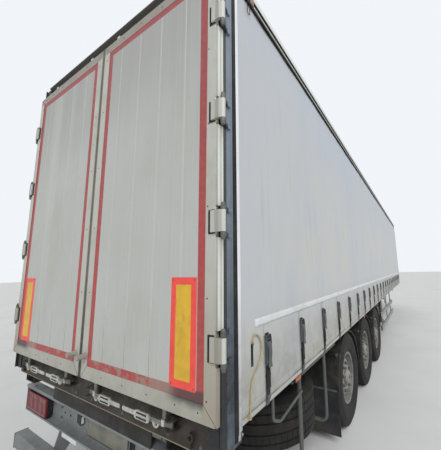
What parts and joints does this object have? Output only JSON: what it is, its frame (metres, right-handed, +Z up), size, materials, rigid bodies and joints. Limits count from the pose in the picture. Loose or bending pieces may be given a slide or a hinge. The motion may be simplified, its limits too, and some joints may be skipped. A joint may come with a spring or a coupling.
{
  "type": "semi trailer",
  "caption": "Curtain side semi trailer with swan neck chassis, kingpin, air suspension, landing legs, spare wheel and hinged rear doors.",
  "frame": {"origin": "on the ground under the middle of the whole trailer, door buffers included", "axes": "+X to the right, +Y forward to the coupling, +Z up"},
  "size_m": [2.638, 13.68, 4],
  "materials": {
    "chassis_paint": "satin, dusty",
    "leg_paint": "satin",
    "axle_paint": "matt, dusty",
    "carrier_zinc": "dull zinc",
    "galvanised": "galvanised",
    "rave_metal": "satin silver grey",
    "floor_wood": "film faced plywood",
    "wall_paint": "satin light grey",
    "post_paint": "galvanised blue grey",
    "header_paint": "satin dark",
    "rack_aluminium": "mill finish",
    "rail_aluminium": "anodised",
    "roof_fabric": "coated sheet",
    "curtain_fabric": "coated sheet, satin",
    "pole_paint": "gloss white",
    "strap_webbing": "woven webbing",
    "door_aluminium": "anodised, dusty",
    "door_paint": "satin warm grey",
    "seal_rubber": "matt",
    "lock_zinc": "zinc plated",
    "buffer_rubber": "matt",
    "lamp_plastic": "moulded",
    "lamp_amber": "moulded",
    "rope_fibre": "twisted fibre",
    "guard_plastic": "moulded",
    "flap_rubber": "matt",
    "tank_paint": "satin",
    "spring_rubber": "matt",
    "tyre_rubber": "matt",
    "rim_paint": "satin silver"
  },
  "bodies": {
    "chassis": {"air_springs": "spring_rubber", "air_tanks": "tank_paint", "axles": "axle_paint", "beam_left": "chassis_paint", "beam_right": "chassis_paint", "buckles_left": "strap_webbing", "buckles_right": "strap_webbing", "coupling_plate": "chassis_paint", "crossmembers": "chassis_paint", "curtain_left": "curtain_fabric", "curtain_pole_left": "pole_paint", "curtain_pole_right": "pole_paint", "curtain_right": "curtain_fabric", "floor": "floor_wood", "front_wall": "wall_paint", "landing_legs": "leg_paint", "light_carrier": "galvanised", "loose_rope": "rope_fibre", "mudflaps": "flap_rubber", "mudguards": "guard_plastic", "rear_header": "header_paint", "rear_post_left": "post_paint", "rear_post_right": "post_paint", "rear_sill": "header_paint", "roof_bows": "rack_aluminium", "roof_rails": "rail_aluminium", "roof_sheet": "roof_fabric", "side_guards": "rack_aluminium", "side_lamps": "lamp_amber", "side_rack_left": "rack_aluminium", "side_rack_right": "rack_aluminium", "side_raves": "rave_metal", "spare_carrier": "carrier_zinc", "spare_rim": "rim_paint", "spare_tyre": "tyre_rubber", "suspension": "chassis_paint", "tail_lamps": "lamp_plastic", "underrun_bar": "galvanised"},
    "wheel_left_1": {"tyre_left_1": "tyre_rubber", "rim_left_1": "rim_paint"},
    "wheel_left_2": {"tyre_left_2": "tyre_rubber", "rim_left_2": "rim_paint"},
    "wheel_left_3": {"tyre_left_3": "tyre_rubber", "rim_left_3": "rim_paint"},
    "wheel_right_1": {"tyre_right_1": "tyre_rubber", "rim_right_1": "rim_paint"},
    "wheel_right_2": {"tyre_right_2": "tyre_rubber", "rim_right_2": "rim_paint"},
    "wheel_right_3": {"tyre_right_3": "tyre_rubber", "rim_right_3": "rim_paint"},
    "door_left": {"door_buffer_left": "buffer_rubber", "door_frame_left": "door_aluminium", "door_panel_left": "door_paint", "door_seal_left": "seal_rubber", "lock_gear_left": "lock_zinc"},
    "door_right": {"door_buffer_right": "buffer_rubber", "door_frame_right": "door_aluminium", "door_panel_right": "door_paint", "door_seal_right": "seal_rubber", "lock_gear_right": "lock_zinc"}
  },
  "joints": [
    {"name": "spin_left_1", "type": "hinge", "parent": "chassis", "child": "wheel_left_1", "pos_m": [-1.043, -4.08, 0.536], "axis": [1, 0, 0], "continuous": true},
    {"name": "spin_left_2", "type": "hinge", "parent": "chassis", "child": "wheel_left_2", "pos_m": [-1.043, -2.77, 0.536], "axis": [1, 0, 0], "continuous": true},
    {"name": "spin_left_3", "type": "hinge", "parent": "chassis", "child": "wheel_left_3", "pos_m": [-1.043, -1.46, 0.536], "axis": [1, 0, 0], "continuous": true},
    {"name": "spin_right_1", "type": "hinge", "parent": "chassis", "child": "wheel_right_1", "pos_m": [1.043, -4.08, 0.536], "axis": [1, 0, 0], "continuous": true},
    {"name": "spin_right_2", "type": "hinge", "parent": "chassis", "child": "wheel_right_2", "pos_m": [1.043, -2.77, 0.536], "axis": [1, 0, 0], "continuous": true},
    {"name": "spin_right_3", "type": "hinge", "parent": "chassis", "child": "wheel_right_3", "pos_m": [1.043, -1.46, 0.536], "axis": [1, 0, 0], "continuous": true},
    {"name": "door_swing_left", "type": "hinge", "parent": "chassis", "child": "door_left", "pos_m": [-1.305, -6.772, 2], "axis": [0, 0, -1], "range_deg": [0, 265]},
    {"name": "door_swing_right", "type": "hinge", "parent": "chassis", "child": "door_right", "pos_m": [1.305, -6.772, 2], "axis": [0, 0, 1], "range_deg": [0, 265]}
  ]
}
